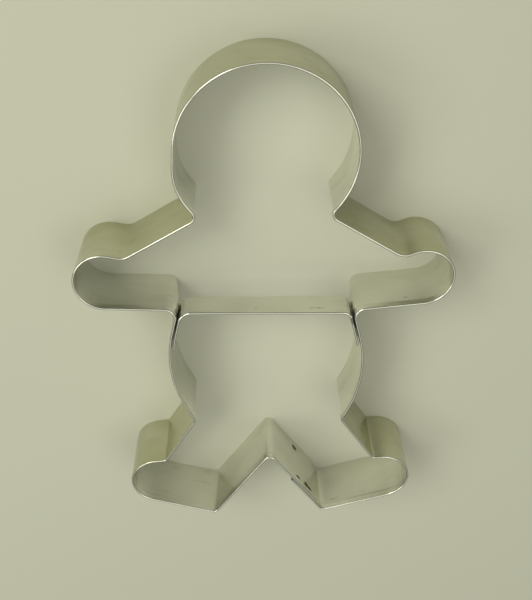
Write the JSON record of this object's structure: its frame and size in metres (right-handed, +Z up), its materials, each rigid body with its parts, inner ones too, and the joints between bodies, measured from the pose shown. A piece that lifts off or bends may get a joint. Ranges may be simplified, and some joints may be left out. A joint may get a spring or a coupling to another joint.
{
  "type": "cookie cutter",
  "caption": "Gingerbread-man pastry cutter bent from hemmed tinplate strip, with a stiffening strip across the waist.",
  "frame": {"origin": "middle of the cutter seen from above, at the level of its cutting edge", "axes": "+Y towards the head, +X towards the figure's right hand side as seen from the hemmed edge, +Z up from the cutting edge to the hemmed edge"},
  "size_m": [0.1354, 0.1926, 0.0254],
  "materials": {
    "tinplate": "satin, dull bright tinplate"
  },
  "bodies": {
    "root": {"outline_strip": "tinplate", "waist_brace": "tinplate"}
  },
  "joints": []
}
